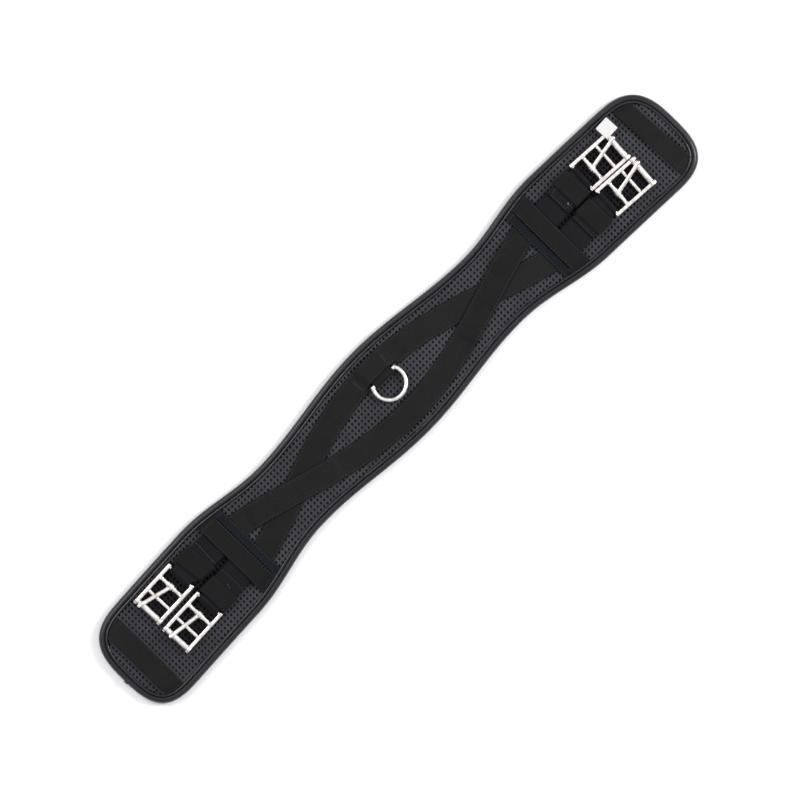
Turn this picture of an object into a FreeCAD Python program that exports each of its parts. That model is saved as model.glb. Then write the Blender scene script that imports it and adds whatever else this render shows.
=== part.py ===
import FreeCAD, Part
import math
import os
from FreeCAD import Vector

os.makedirs("parts", exist_ok=True)

# A saddle girth lying flat with its lining down. Millimetres, +Z up.
# Origin: middle of the girth, on the face that lies against the horse.
# X runs along the girth (left end at -X), Y across it.

# ---- the pad ------------------------------------------------------------------
half_length = 393.5        # middle of the pad to the tip of an end
centre_half_width = 55.2
waist_half_width = 43.2
end_side_margin = 19.3     # pad outside the buckles, to the edge
end_round_length = 53.5    # length of the rounded part of each end
end_round_power = 3.0      # 2 would be an ellipse, more is squarer
bow_depth = 11.2           # how far the ends lie towards -Y of the middle
pad_height = 9.0           # floor to the top of the foam
roll_bulge = 3.4           # how far the edge roll swells past the bottom face
lining_wall = 1.2
border_width = 8.6         # edge of the pad to the inside of the lining's lip
lip_width = 1.0
piping_radius = 1.2
piping_overhang = 0.2      # piping past the inside of the lip
mesh_thickness = 1.2
mesh_gap = 0.1             # mesh to piping
binding_lap_length = 4.6   # the edge binding's end laps over its start
binding_lap_across = -13.6
binding_lap_thickness = 0.8
binding_lap_depth = 8.0

# ---- webbing sewn on the pad --------------------------------------------------
web_width = 26.0
web_thickness = 1.6
web_side_margin = 4.3      # mesh showing outside a webbing, in the middle
web_at_tape = 18.7         # each webbing's middle off the girth's middle, at the tape
web_ramp = 8.0             # length over which a webbing climbs
web_under_band = 8.0       # length of webbing past the tape, under the band
waist_past_crossing = 4.0
band_from_end = 160.3      # tip of the pad to the outer edge of the anchor band
band_length = 20.4         # along the girth
tape_length = 9.5
band_thickness = 1.2
tape_thickness = 0.8
strip_foot = 1.0           # flat sewn foot at each end of a strip
full_width_past_band = 16.8
end_keeper_thickness = 1.4
end_keeper_rise = 3.0      # room for a girth strap's tip
# tip of the pad to the keeper, the keeper's length along the girth, and its turn from square
END_KEEPERS = {"left": dict(from_end=19.2, length=21.5, turn=0.0),
               "right": dict(from_end=18.1, length=19.8, turn=3.0)}

# ---- buckles ------------------------------------------------------------------
billet_width = 25.4        # the saddle's girth straps
billet_play = 0.8          # each side
rail_width = 4.0
rail_height = 4.0
rail_round = 1.4
rail_tail = 2.4            # rail past the strap bar
rail_nose = 4.2            # rail past the roller
bar_to_roller = 46.6
roller_to_thin_bar = 15.2
roller_to_knuckle = 32.9
strap_bar_radius = 1.5
thin_bar_radius = 1.9
thin_bar_drop = 1.4
knuckle_radius = 2.1
collar_radius = 2.7
collar_from = 2.8          # from the middle of the knuckle bar
collar_to = 5.2
flare_radius = 3.2
flare_length = 3.6
roller_radius = 3.15
roller_pin_radius = 1.3
roller_boss_radius = 3.5
roller_boss_round = 0.5
roller_end_play = 0.4
roller_round = 0.4
pin_fit = 0.08             # radial clearance of everything that turns on a bar
tongue_radius = 2.25
tongue_tip_radius = 2.0
tongue_eye_wall = 1.4
tongue_side_play = 0.6     # eye to each collar
tongue_overhang = 4.6      # tip past the roller's axis
tongue_over_roller = 0.35
buckle_above_pad = 0.32    # lowest metal or strap to the mesh

# ---- elastic straps and their keepers -------------------------------------------
ply = 1.5                  # one thickness of elastic
strap_width = 30.5
strap_neck_play = 0.75     # each side, where the strap is gathered in between the rails
strap_neck_from = 4.2      # from the strap bar, where the strap starts to spread
strap_spread_length = 4.3
strap_lap_length = 36.0    # how far the end is folded back and sewn
strap_short_of_tape = 0.35 # hidden end of a strap to the tape beside the band
strap_under_band_gap = 0.35
keeper_wall = 1.0
keeper_side_gap = 0.9
keeper_face_gap = 0.4
keeper_length = 20.5

# ---- D-ring and its tab ---------------------------------------------------------
ring_wire_radius = 2.2
ring_radius = 17.05        # bend radius of the wire's centre line
ring_drop = 7.6            # bend centre to the straight bar
ring_along = 4.7
ring_bar_past_web = 0.4    # straight bar's axis past the under-webbing's edge
ring_side_gap = 0.6
tab_width = 25.4
tab_ply = 1.2
tab_tail = 21.0
tab_clear = 2.3            # under-webbing's edge to the ring's straight bar
ring_over_web = 0.35       # the wire clears the over-webbing by this

# ---- tag ------------------------------------------------------------------------
tag_size = 15.8
tag_thickness = 0.4
tag_overlap = 5.6          # how far it reaches over the buckle's corner
tag_above_boss = 0.02
tag_turn = 5.9

# ---- what follows from those sizes ------------------------------------------------
piping_inset = border_width + piping_overhang - lip_width / 2
mesh_inset = piping_inset + piping_radius + mesh_gap
pad_top = pad_height + mesh_thickness
web_swing = centre_half_width - mesh_inset - web_side_margin - web_width / 2
clear_width = billet_width + 2 * billet_play
rail_centre = (clear_width + rail_width) / 2
buckle_width = clear_width + 2 * rail_width
strap_neck_width = clear_width - 2 * strap_neck_play
fold_radius = strap_bar_radius + pin_fit + ply
tongue_eye_radius = knuckle_radius + pin_fit + tongue_eye_wall
lowest = max(fold_radius, roller_boss_radius, tongue_eye_radius)
keeper_half_height = ply + keeper_face_gap + keeper_wall
bar_z = pad_top + buckle_above_pad + max(lowest, keeper_half_height)
keeper_width = strap_width + 2 * (keeper_side_gap + keeper_wall)
widest = max(buckle_width, keeper_width)
band_outer = half_length - band_from_end
band_inner = band_outer - band_length
tape_inner = band_inner - tape_length
crossing_at = tape_inner * math.pi / 2 / math.acos(-web_at_tape / web_swing)
waist_at = crossing_at + waist_past_crossing
full_width_at = band_outer + full_width_past_band
end_round_at = half_length - end_round_length
thin_bar_at = bar_to_roller - roller_to_thin_bar
knuckle_at = bar_to_roller - roller_to_knuckle

# The four straps. "end" is -1 left, +1 right and "row" +1 upper, -1 lower.
# bar_from_end: tip of the pad to the strap bar. centre: middle of the pair,
# across, at the bar and at the band. gap: between the two buckles, and between
# the two keepers at the band. droop: buckle turned towards -Y. tongue: turned
# towards +Y. keeper: its outer edge to the bar. lean: the keeper sits askew.
STRAPS = {
    "left_upper": dict(end=-1, row=1, bar_from_end=114.1, bar_centre=0.9, gap=4.65,
                       band_centre=0.4, band_gap=2.25, droop=1.6, tongue=16.0,
                       keeper=8.9, lean=-8.6),
    "left_lower": dict(end=-1, row=-1, bar_from_end=114.1, bar_centre=0.9, gap=4.65,
                       band_centre=0.4, band_gap=2.25, droop=1.9, tongue=10.5,
                       keeper=4.0, lean=0.0),
    "right_upper": dict(end=1, row=1, bar_from_end=107.1, bar_centre=-4.4, gap=0.95,
                        band_centre=-4.9, band_gap=1.1, droop=3.7, tongue=13.0,
                        keeper=5.0, lean=0.0),
    "right_lower": dict(end=1, row=-1, bar_from_end=107.1, bar_centre=-4.4, gap=0.95,
                        band_centre=-4.9, band_gap=1.1, droop=4.1, tongue=15.0,
                        keeper=9.4, lean=0.0),
}


def pitch_at_bar(s):
    """Distance between the pair's strap bars: one buckle's or keeper's width, and the gap."""
    return widest + s["gap"]


def bar_point(s):
    x = s["end"] * (half_length - s["bar_from_end"])
    return x, s["bar_centre"] + s["row"] * pitch_at_bar(s) / 2


def band_point(s):
    pitch = keeper_width + s["band_gap"]
    return s["end"] * band_outer, s["band_centre"] + s["row"] * pitch / 2


def strap_heading(s):
    """Direction the strap runs in, from the band out to the bar, in degrees from +X."""
    bx, by = bar_point(s)
    ax, ay = band_point(s)
    return math.degrees(math.atan2(by - ay, bx - ax))


def buckle_heading(s):
    return -s["droop"] if s["end"] > 0 else 180.0 + s["droop"]


end_half_width = end_side_margin + widest / 2
end_half_width += max(pitch_at_bar(s) for s in STRAPS.values()) / 2


def save(shape, name):
    """Write one node's solid. A piece must be one valid closed solid."""
    if shape.ShapeType != "Solid":
        shape = shape.Solids[0] if len(shape.Solids) == 1 else shape
    if shape.ShapeType != "Solid" or not shape.isValid():
        raise ValueError(name + " is not one valid solid")
    shape.exportStep("parts/" + name + ".step")
    print(name, round(shape.Volume / 1000, 3), "cm3")


def bow_at(x):
    return -bow_depth * (x / half_length) ** 2


def half_width(x):
    """Half the pad's width at a station, from a wide middle through a waist to a wide end."""
    x = abs(x)
    if x < waist_at:
        share = (1 + math.cos(math.pi * x / waist_at)) / 2
        return waist_half_width + (centre_half_width - waist_half_width) * share
    if x < full_width_at:
        share = (1 - math.cos(math.pi * (x - waist_at) / (full_width_at - waist_at))) / 2
        return waist_half_width + (end_half_width - waist_half_width) * share
    if x < end_round_at:
        return end_half_width
    share = 1 - ((x - end_round_at) / end_round_length) ** end_round_power
    return end_half_width * share ** (1 / end_round_power)


def spread(start, stop, steps):
    return [start + (stop - start) * k / steps for k in range(steps)]


def quarter_points():
    """The edge from the tip of the right end round to the middle of the upper side."""
    points = []
    for k in range(9):
        t = math.radians(10 * k)
        x = end_round_at + end_round_length * math.cos(t) ** (2 / end_round_power)
        y = end_half_width * math.sin(t) ** (2 / end_round_power)
        points.append((x, y))
    stations = spread(end_round_at, full_width_at, 4) + spread(full_width_at, waist_at, 6)
    stations += spread(waist_at, 0.0, 7) + [0.0]
    return points + [(x, half_width(x)) for x in stations]


def edge_points():
    """The whole edge, anticlockwise from the tip of the right end."""
    q = quarter_points()
    upper = q + [(-x, y) for x, y in reversed(q[:-1])]
    lower = [(x, -y) for x, y in reversed(upper[1:-1])]
    return [Vector(x, y + bow_at(x), 0) for x, y in upper + lower]


EDGE = edge_points()
COUNT = len(EDGE)
INWARD = []
for k in range(COUNT):
    along = EDGE[(k + 1) % COUNT] - EDGE[k - 1]
    INWARD.append(Vector(-along.y, along.x, 0).normalize())
KNOTS = [0.0]
for k in range(COUNT):
    KNOTS.append(KNOTS[-1] + (EDGE[(k + 1) % COUNT] - EDGE[k]).Length)


def outline(inset, z):
    """The pad's edge moved inwards by inset, at a height, as one closed curve."""
    curve = Part.BSplineCurve()
    points = [p + n * inset + Vector(0, 0, z) for p, n in zip(EDGE, INWARD)]
    curve.interpolate(Points=points, PeriodicFlag=True, Parameters=KNOTS)
    return Part.Wire([curve.toShape()])


def stack(sections):
    """A solid whose outline steps through (inset, height) pairs."""
    return Part.makeLoft([outline(i, z) for i, z in sections], True, True)


def box(x0, x1, y0, y1, z0, z1):
    return Part.makeBox(x1 - x0, y1 - y0, z1 - z0, Vector(x0, y0, z0))


def prism_xz(points, y0, y1):
    """A shape drawn in X and Z, carried across from y0 to y1."""
    wire = Part.makePolygon([Vector(x, y0, z) for x, z in points + points[:1]])
    return Part.Face(wire).extrude(Vector(0, y1 - y0, 0))


def rod_y(radius, half, x=0.0, z=0.0):
    """A round bar along Y, centred."""
    return Part.makeCylinder(radius, 2 * half, Vector(x, -half, z), Vector(0, 1, 0))


def placed(shape, x, y, z, heading):
    shape.rotate(Vector(0, 0, 0), Vector(0, 0, 1), heading)
    shape.translate(Vector(x, y, z))
    return shape


# ---- pad: lining, foam, mesh, piping, binding lap ---------------------------------
def roll(offset):
    """The rolled edge from the bottom face up and over to the lip, moved in by offset."""
    swell = [(1.0, 0.0), (0.35, 0.1), (0.0, 0.38), (0.1, 0.66), (0.55, 0.9), (1.2, 1.0)]
    span = pad_height - 2 * offset
    return [(offset + roll_bulge * a, offset + span * b) for a, b in swell]


outer = stack(roll(0.0) + [(border_width - lip_width, pad_height)])
core_sections = roll(lining_wall)
core_sections += [(border_width, pad_height - lining_wall), (border_width, pad_height)]
core = stack(core_sections)
save(outer.cut(core), "lining")
save(core, "foam_core")
save(stack([(mesh_inset, pad_height), (mesh_inset, pad_top)]), "mesh_top")

piping_angles = (-67.5, -22.5, 22.5, 67.5)
piping_z = pad_height + piping_radius * math.sin(math.radians(67.5))


def piping_side(sign):
    half = [math.radians(a) for a in piping_angles]
    return stack([(piping_inset + sign * piping_radius * math.cos(a),
                   piping_z + piping_radius * math.sin(a)) for a in half])


save(piping_side(-1).cut(piping_side(1)), "piping")

lap_skin = [(i - binding_lap_thickness, z) for i, z in roll(0.0)[1:-1]]
lap_box = box(-half_length - 2 * binding_lap_thickness, -half_length + binding_lap_depth,
              binding_lap_across - binding_lap_length / 2,
              binding_lap_across + binding_lap_length / 2, 0, pad_height)
save(stack(lap_skin).cut(outer).common(lap_box), "binding_lap")


# ---- crossing webbings ---------------------------------------------------------
def web_plan(side):
    """Plan of a webbing: out to one side in the middle, to the other at both ends."""
    length = band_inner + web_under_band
    stations = [length * k / 12 for k in range(-12, 13)]
    edges = []
    for half in (web_width / 2, -web_width / 2):
        points = []
        for x in stations:
            swing = math.pi / (2 * crossing_at)
            y = side * web_swing * math.cos(swing * x) + bow_at(x)
            slope = -side * web_swing * swing * math.sin(swing * x) - 2 * bow_depth * x / half_length ** 2
            run = math.hypot(1, slope)
            points.append(Vector(x - half * slope / run, y + half / run, 0))
        edges.append(points)
    curves = []
    for points in edges:
        curve = Part.BSplineCurve()
        curve.interpolate(points)
        curves.append(curve.toShape())
    ends = [Part.makeLine(edges[0][k], edges[1][k]) for k in (0, -1)]
    face = Part.Face(Part.Wire(Part.__sortEdges__(curves + ends)))
    return face.extrude(Vector(0, 0, 3 * pad_top))


def climbing_strip(humps, reach):
    """Side view of a webbing that climbs over each (from, to, height), lying on the pad elsewhere."""
    under = [(-reach, pad_top)]
    for start, stop, height in humps:
        under += [(start - web_ramp, pad_top), (start, pad_top + height)]
        under += [(stop, pad_top + height), (stop + web_ramp, pad_top)]
    under += [(reach, pad_top)]
    over = [(x, z + web_thickness) for x, z in reversed(under)]
    return prism_xz(under + over, -2 * end_half_width, 2 * end_half_width)


web_reach = band_inner + web_under_band + web_width
web_run = 2 * crossing_at / math.pi
cross_half = web_width / 2 * math.hypot(1, web_swing / web_run)
near_tip = web_run * math.acos(cross_half / web_swing)
far_tip = 2 * crossing_at - near_tip
tab_height = 2 * tab_ply
tab_from = ring_along - tab_width / 2
tab_to = ring_along + tab_width / 2
ring_half_bar = math.sqrt(ring_radius ** 2 - ring_drop ** 2)

over_humps = [(-far_tip, -near_tip, web_thickness), (near_tip, far_tip, web_thickness)]
save(web_plan(-1).common(climbing_strip(over_humps, web_reach)), "crossing_web_over")

ring_bar_across = web_swing - web_width / 2 - ring_bar_past_web
notch_half = ring_half_bar + ring_wire_radius + ring_side_gap
notch_top = ring_bar_across + ring_wire_radius + tab_clear
notch = box(ring_along - notch_half, ring_along + notch_half, 0, notch_top, 0, 3 * pad_top)
web_under = web_plan(1).common(climbing_strip([(tab_from, tab_to, tab_height)], web_reach))
save(web_under.cut(notch), "crossing_web_under")


# ---- strips sewn across the pad ---------------------------------------------------
def strip_across(end, inner, outer_x, rise, thickness, low=None, high=None, turn=0.0):
    """A strip across the pad, sewn down at both edges and standing clear between them."""
    middle = (inner + outer_x) / 2
    narrow = min(half_width(inner), half_width(outer_x))
    wide = max(half_width(inner), half_width(outer_x))
    centre = bow_at(middle)
    reach = narrow - mesh_inset - abs(bow_at(outer_x) - bow_at(inner)) / 2
    y0 = centre - reach
    y1 = centre + reach
    spare = wide - narrow
    ramp = rise + thickness
    low = y0 + strip_foot + ramp if low is None else low
    high = y1 - strip_foot - ramp if high is None else high
    lean = thickness * math.tan(math.pi / 8)
    z0 = pad_top
    under = [(y0 - spare, z0), (y0 + strip_foot, z0), (low, z0 + rise)]
    under += [(high, z0 + rise), (y1 - strip_foot, z0), (y1 + spare, z0)]
    shift = [0, -lean, -lean, lean, lean, 0]
    over = [(y + d, z + thickness) for (y, z), d in zip(under, shift)]
    points = under + over[::-1]
    wire = Part.makePolygon([Vector(inner, y, z) for y, z in points + points[:1]])
    shape = Part.Face(wire).extrude(Vector(outer_x - inner, 0, 0))
    shape.rotate(Vector(middle, centre, 0), Vector(0, 0, 1), turn)
    if end < 0:
        shape = shape.mirror(Vector(0, 0, 0), Vector(1, 0, 0))
    return shape.common(stack([(mesh_inset, pad_height), (mesh_inset, 3 * pad_top)]))


for end, side in ((-1, "left"), (1, "right")):
    pair = [s for s in STRAPS.values() if s["end"] == end]
    edges = []
    for s in pair:
        x, y = band_point(s)
        slope = math.tan(math.radians(strap_heading(s))) * end
        for back in (0, band_length):
            edges.append(y - slope * back + strap_width / 2)
            edges.append(y - slope * back - strap_width / 2)
    margin = 2 * strap_under_band_gap
    band_rise = bar_z + strap_under_band_gap - pad_top
    save(strip_across(end, band_inner, band_outer, band_rise, band_thickness,
                      min(edges) - margin, max(edges) + margin), "anchor_band_" + side)
    save(strip_across(end, tape_inner, band_inner, web_thickness, tape_thickness),
         "band_tape_" + side)
    keeper = END_KEEPERS[side]
    keeper_out = half_length - keeper["from_end"]
    save(strip_across(end, keeper_out - keeper["length"], keeper_out, end_keeper_rise,
                      end_keeper_thickness, turn=keeper["turn"]), "end_keeper_" + side)


# ---- one strap with its keeper and buckle, about the strap bar, outwards along +X ---
def rail(side):
    shape = box(-rail_tail, bar_to_roller + rail_nose, side * rail_centre - rail_width / 2,
                side * rail_centre + rail_width / 2, -rail_height / 2, rail_height / 2)
    shape = shape.makeFillet(rail_round, shape.Edges)
    boss = rod_y(roller_boss_radius, rail_width / 2, bar_to_roller)
    boss = boss.makeFillet(roller_boss_round, boss.Edges)
    boss.translate(Vector(0, side * rail_centre, 0))
    return shape.fuse(boss)


def knuckle_bar():
    """The bar that the tongue turns on: a collar each side of the tongue, flared into the rails."""
    half = clear_width / 2 + rail_width / 4
    flare_in = clear_width / 2 - flare_length
    right = [(0, knuckle_radius), (collar_from, knuckle_radius), (collar_from, collar_radius),
             (collar_to, collar_radius), (collar_to, knuckle_radius), (flare_in, knuckle_radius)]
    mid = (flare_in + 0.7 * flare_length, knuckle_radius + 0.3 * (flare_radius - knuckle_radius))
    stop = (clear_width / 2, flare_radius)
    edges = []
    for sign in (-1, 1):
        pts = [Vector(r, sign * y, 0) for y, r in right]
        edges += [Part.makeLine(a, b) for a, b in zip(pts, pts[1:])]
        last = Vector(stop[1], sign * stop[0], 0)
        bend = Part.Arc(pts[-1], Vector(mid[1], sign * mid[0], 0), last)
        tip = Vector(stop[1], sign * half, 0)
        edges += [bend.toShape(), Part.makeLine(last, tip)]
        edges.append(Part.makeLine(tip, Vector(0, sign * half, 0)))
    edges.append(Part.makeLine(Vector(0, -half, 0), Vector(0, half, 0)))
    face = Part.Face(Part.Wire(Part.__sortEdges__(edges)))
    shape = face.revolve(Vector(0, 0, 0), Vector(0, 1, 0), 360)
    flat = 0.95 * rail_height / 2
    limit = max(flat, collar_radius)
    slab = box(-2 * flare_radius, 2 * flare_radius, -half, half, -limit, limit)
    shape = Part.Solid(shape) if shape.ShapeType == "Shell" else shape
    shape = shape.common(slab)
    shape.translate(Vector(knuckle_at, 0, 0))
    return shape


def buckle_frame():
    half = clear_width / 2 + rail_width / 4
    shape = rail(1).fuse([rail(-1), knuckle_bar(), rod_y(strap_bar_radius, half),
                          rod_y(roller_pin_radius, half, bar_to_roller),
                          rod_y(thin_bar_radius, half, thin_bar_at, -thin_bar_drop)])
    return shape


def buckle_roller():
    half = clear_width / 2 - roller_end_play
    tube = rod_y(roller_radius, half, bar_to_roller)
    tube = tube.makeFillet(roller_round, tube.Edges)
    return tube.cut(rod_y(roller_pin_radius + pin_fit, half + 1, bar_to_roller))


def buckle_tongue(yaw):
    """An eye round the knuckle bar, and a rod that rises over the roller, turned by yaw."""
    bore = knuckle_radius + pin_fit
    half = collar_from - tongue_side_play
    side = math.tan(math.radians(yaw))
    rise = (roller_radius + tongue_over_roller + tongue_radius) / roller_to_knuckle
    tip = Vector(1, side, rise) * (roller_to_knuckle + tongue_overhang - tongue_tip_radius)
    shank = Part.makeCone(tongue_radius, tongue_tip_radius, tip.Length, Vector(0, 0, 0), tip)
    shank = shank.fuse(Part.makeSphere(tongue_tip_radius, tip))
    inside = tongue_eye_radius - tongue_eye_wall / 3
    shank = shank.cut(rod_y(inside, 3 * half))
    shape = rod_y(tongue_eye_radius, half).fuse(shank).cut(rod_y(bore, 2 * half))
    shape.translate(Vector(knuckle_at, 0, 0))
    return shape


def elastic_strap(s, turn):
    """Two plies round the strap bar, sewn together, and one ply on to the band."""
    x, y = bar_point(s)
    ax, ay = band_point(s)
    run = math.radians(strap_heading(s))
    to_band = math.hypot(x - ax, y - ay)
    hidden = band_length - strap_short_of_tape - strap_width / 2 * abs(math.sin(run))
    end = -(to_band + hidden / abs(math.cos(run)))
    neck = Vector(-strap_neck_from, strap_neck_width / 2, 0)
    spin = FreeCAD.Rotation(Vector(0, 0, 1), turn)
    corners = [(0, 1), (0, -1)]
    front = [spin.multVec(Vector(a, b * neck.y, 0)) for a, b in corners]
    necks = [spin.multVec(Vector(neck.x, b * neck.y, 0)) for b in (1, -1)]
    wide = -(strap_neck_from + strap_spread_length)

    def plan(stop, z0, z1):
        points = [front[1], front[0], necks[0], Vector(wide, strap_width / 2, 0),
                  Vector(stop, strap_width / 2, 0), Vector(stop, -strap_width / 2, 0),
                  Vector(wide, -strap_width / 2, 0), necks[1], front[1]]
        wire = Part.makePolygon([p + Vector(0, 0, z0) for p in points])
        return Part.Face(wire).extrude(Vector(0, 0, z1 - z0))

    body = plan(end, -ply, 0).fuse(plan(-strap_lap_length, 0, ply))
    fold = rod_y(fold_radius, strap_neck_width / 2)
    hole = rod_y(strap_bar_radius + pin_fit, strap_width)
    fold.rotate(Vector(0, 0, 0), Vector(0, 0, 1), turn)
    hole.rotate(Vector(0, 0, 0), Vector(0, 0, 1), turn)
    return body.fuse(fold).cut(hole).removeSplitter()


def strap_keeper(s):
    """A flat loop round the strap. A leaning one has slanted ends."""
    inner_y = strap_width / 2 + keeper_side_gap
    inner_z = ply + keeper_face_gap
    slant = math.tan(math.radians(s["lean"]))

    def sleeve(half_y, half_z):
        start = -(s["keeper"] + keeper_length)
        corners = [(-half_y, -half_z), (half_y, -half_z), (half_y, half_z), (-half_y, half_z)]
        points = [Vector(start + slant * y, y, z) for y, z in corners + corners[:1]]
        return Part.Face(Part.makePolygon(points)).extrude(Vector(keeper_length, 0, 0))

    return sleeve(inner_y + keeper_wall, inner_z + keeper_wall).cut(sleeve(inner_y, inner_z))


for name, s in STRAPS.items():
    x, y = bar_point(s)
    run = strap_heading(s)
    out = buckle_heading(s)
    turn = (out - run + 180) % 360 - 180
    yaw = s["tongue"] * s["end"]
    save(placed(elastic_strap(s, turn), x, y, bar_z, run), "elastic_strap_" + name)
    save(placed(strap_keeper(s), x, y, bar_z, run), "strap_keeper_" + name)
    save(placed(buckle_frame(), x, y, bar_z, out), "buckle_frame_" + name)
    save(placed(buckle_roller(), x, y, bar_z, out), "buckle_roller_" + name)
    save(placed(buckle_tongue(yaw), x, y, bar_z, out), "buckle_tongue_" + name)
    print("  bar", round(x, 2), round(y, 2), round(bar_z, 2), "run", round(run, 2), "out", out)

# ---- D-ring and the tab that holds it -----------------------------------------------
loop_radius = ring_wire_radius + pin_fit + tab_ply
ring_z = pad_top + max(loop_radius, web_thickness + ring_over_web + ring_wire_radius)
start_angle = math.atan2(ring_drop, ring_half_bar)
section = Part.Circle(Vector(ring_radius, 0, 0), Vector(0, 1, 0), ring_wire_radius).toShape()
bend = Part.Face(Part.Wire([section])).revolve(
    Vector(0, 0, 0), Vector(0, 0, 1), 180 + 2 * math.degrees(start_angle))
bend.rotate(Vector(0, 0, 0), Vector(0, 0, 1), 180 - math.degrees(start_angle))
bend.translate(Vector(0, -ring_drop, 0))
ring = Part.makeCylinder(ring_wire_radius, 2 * ring_half_bar, Vector(-ring_half_bar, 0, 0),
                         Vector(1, 0, 0))
for sign in (-1, 1):
    ring = ring.fuse(Part.makeSphere(ring_wire_radius, Vector(sign * ring_half_bar, 0, 0)))
ring = ring.fuse(bend)
save(placed(ring, ring_along, ring_bar_across, ring_z, 0), "d_ring")


def rod_x(radius, half):
    return Part.makeCylinder(radius, 2 * half, Vector(-half, 0, 0), Vector(1, 0, 0))


tail = box(-tab_width / 2, tab_width / 2, 0, tab_tail, pad_top - ring_z,
           pad_top - ring_z + tab_height)
tab = rod_x(loop_radius, tab_width / 2).fuse(tail)
tab = tab.cut(rod_x(ring_wire_radius + pin_fit, tab_width))
save(placed(tab, ring_along, ring_bar_across, ring_z, 0), "d_ring_tab")

# ---- blank tag over the outer corner of the right upper buckle -------------------------
s = STRAPS["right_upper"]
x, y = bar_point(s)
tag = box(-tag_overlap, tag_size - tag_overlap, -tag_overlap, tag_size - tag_overlap,
          roller_boss_radius + tag_above_boss, roller_boss_radius + tag_above_boss + tag_thickness)
tag.rotate(Vector(0, 0, 0), Vector(0, 0, 1), tag_turn)
tag.translate(Vector(bar_to_roller + rail_nose / 2, rail_centre + rail_width / 2, 0))
save(placed(tag, x, y, bar_z, buckle_heading(s)), "size_tag")
print("pad top", pad_top, "bar z", bar_z, "ring z", round(ring_z, 3))
print("end half width", round(end_half_width, 2), "mesh inset", mesh_inset)
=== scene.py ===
# %% [markdown]
# # A saddle girth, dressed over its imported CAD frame
# A girth is the padded strap that goes under a horse's belly and holds the saddle on.
# Its metal parts are already right in the CAD frame, so they keep their shapes and only
# get a finish. Its soft parts are made again here, because cloth needs rounded edges,
# woven surfaces and stitches that a CAD solid doesn't have.

# %% Load the frame
import math
import bpy
import bmesh
import numpy as np
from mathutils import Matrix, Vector, kdtree


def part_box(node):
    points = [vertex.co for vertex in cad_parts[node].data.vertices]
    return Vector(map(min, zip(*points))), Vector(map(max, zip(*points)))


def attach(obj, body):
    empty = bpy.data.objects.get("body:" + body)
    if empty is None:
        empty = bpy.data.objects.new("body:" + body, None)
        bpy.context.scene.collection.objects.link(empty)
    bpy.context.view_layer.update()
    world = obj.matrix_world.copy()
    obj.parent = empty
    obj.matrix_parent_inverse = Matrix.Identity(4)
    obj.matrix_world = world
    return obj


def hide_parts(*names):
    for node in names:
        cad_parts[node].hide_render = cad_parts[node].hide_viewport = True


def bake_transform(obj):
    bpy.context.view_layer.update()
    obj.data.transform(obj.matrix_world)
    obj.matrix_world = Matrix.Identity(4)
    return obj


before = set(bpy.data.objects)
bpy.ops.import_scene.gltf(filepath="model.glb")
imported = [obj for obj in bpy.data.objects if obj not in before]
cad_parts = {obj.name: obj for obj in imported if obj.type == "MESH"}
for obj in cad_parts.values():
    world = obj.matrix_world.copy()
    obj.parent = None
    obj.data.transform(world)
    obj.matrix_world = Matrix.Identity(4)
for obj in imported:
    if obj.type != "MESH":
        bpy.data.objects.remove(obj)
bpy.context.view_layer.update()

MM = 0.001

# %% [markdown]
# ## The camera, the lights and the floor
# The girth lies flat and is seen from straight above, turned so that it runs from corner
# to corner. A long lens keeps its two ends the same size. The light could be one lamp, but
# polished buckles then show one hard spot, so two large soft boxes and a sky that is
# brighter overhead than at the horizon give them a bright top and dark flanks.

# %% Camera
VIEW_WIDTH, DISTANCE, AIM, CORNER_TO_CORNER = 0.8, 12.0, (0.2 * MM, -12.4 * MM), -45.57
lens = bpy.data.cameras.new("studio_lens")
lens.sensor_width = 36
lens.lens = lens.sensor_width * DISTANCE / VIEW_WIDTH
lens.clip_end = 120
camera = bpy.data.objects.new("studio_camera", lens)
camera.location = (*AIM, DISTANCE)
camera.rotation_euler = (0, 0, math.radians(CORNER_TO_CORNER))
bpy.context.scene.collection.objects.link(camera)
bpy.context.scene.camera = camera
bpy.context.scene.view_settings.view_transform = "Standard"
print("lens", lens.lens, "mm")


# %% One small function that adds a node to any tree, and the one it fills inputs with
def wire(tree, node, inputs):
    """Fills a node's inputs with values or links. A node given as an input means its first output."""
    for key, value in inputs.items():
        if isinstance(value, bpy.types.Node):
            value = value.outputs[0]
        if isinstance(value, bpy.types.NodeSocket):
            tree.links.new(value, node.inputs[key])
        else:
            node.inputs[key].default_value = value


def add(tree, kind, inputs=None, **settings):
    """Adds a node, sets its own settings, and fills its inputs."""
    made = tree.nodes.new(kind)
    for key, value in settings.items():
        setattr(made, key, value)
    wire(tree, made, inputs or {})
    return made


def linear(code):
    """An sRGB hex colour as linear RGBA."""
    parts = [int(code[k:k + 2], 16) / 255 for k in (1, 3, 5)]
    return [c / 12.92 if c < 0.04045 else ((c + 0.055) / 1.055) ** 2.4 for c in parts] + [1.0]


# %% Lights
def soft_box(name, place, size, power):
    light = bpy.data.lights.new(name, "AREA")
    light.shape, light.size, light.energy = "SQUARE", size, power
    box = bpy.data.objects.new(name, light)
    box.location = place
    box.rotation_euler = (-Vector(place)).to_track_quat("-Z", "Y").to_euler()
    bpy.context.scene.collection.objects.link(box)


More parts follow.
